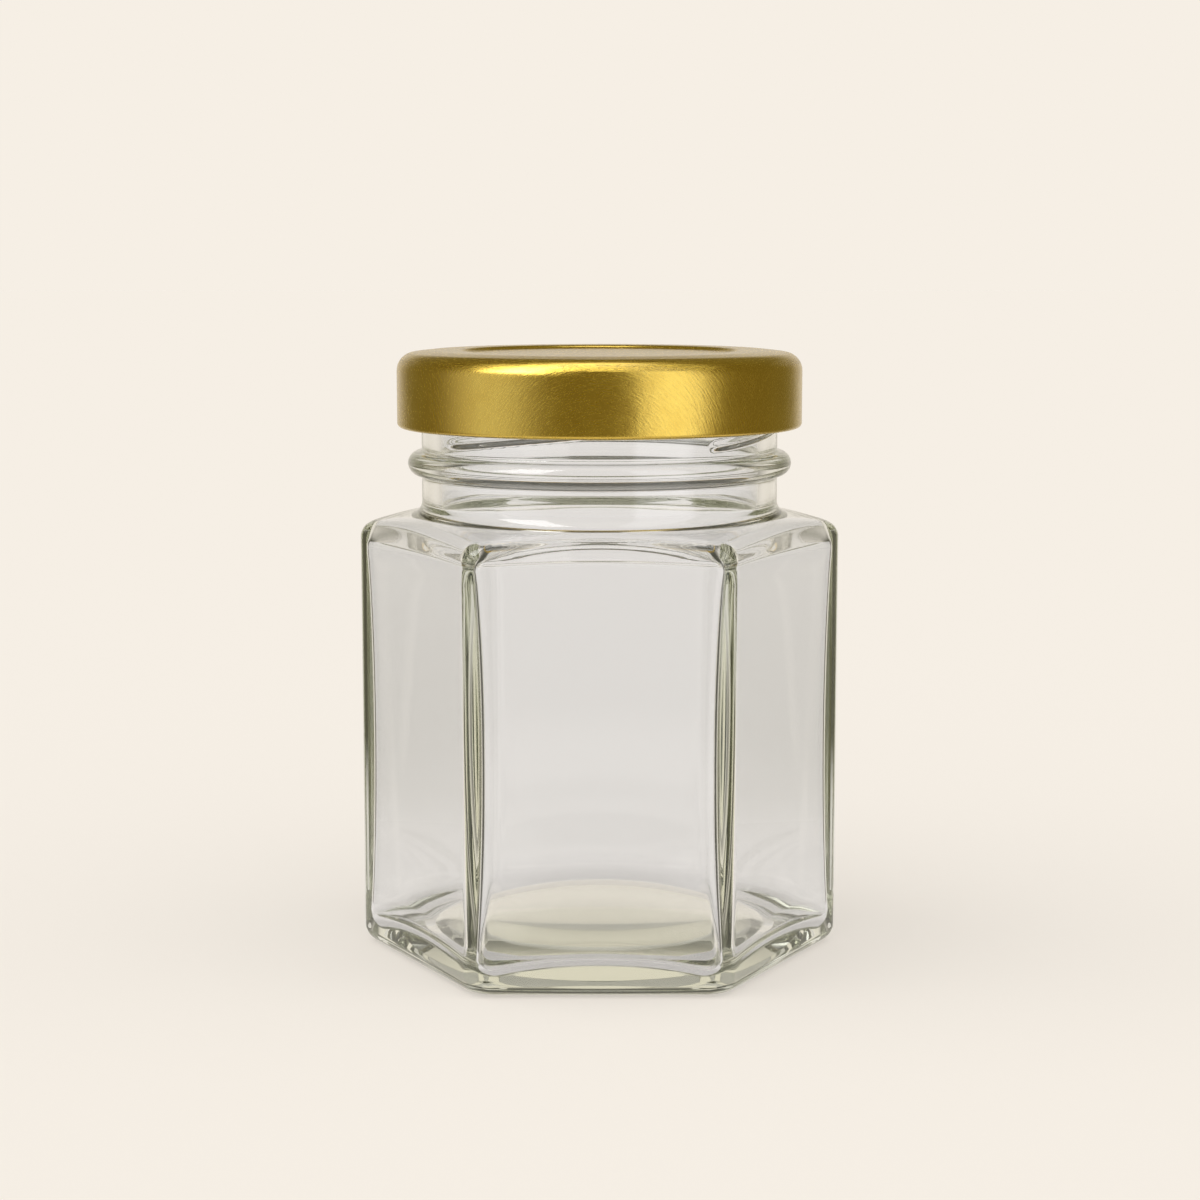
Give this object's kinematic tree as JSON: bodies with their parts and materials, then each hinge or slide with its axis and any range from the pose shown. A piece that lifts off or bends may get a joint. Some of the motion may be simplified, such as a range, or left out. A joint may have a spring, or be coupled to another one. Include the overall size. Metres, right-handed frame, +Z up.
{
  "type": "hexagonal glass jar with twist-off lid",
  "caption": "Empty hexagonal clear-glass preserving jar with a round neck, closed by a gold tinplate twist-off lid.",
  "frame": {"origin": "on the jar's axis, on the surface it stands on", "axes": "+Z up along the jar's axis; two flat walls face -Y (front) and +Y, and two corners lie on the X axis"},
  "size_m": [0.058, 0.0512, 0.073],
  "materials": {
    "clear_glass": "clear flint glass with a faint green edge tint",
    "gold_lacquered_tinplate": "satin gold lacquer with fine brush marks",
    "sealing_compound": "soft matte off-white"
  },
  "bodies": {
    "root": {"glass_jar": "clear_glass", "lid": "gold_lacquered_tinplate", "lid_seal": "sealing_compound"}
  },
  "joints": []
}
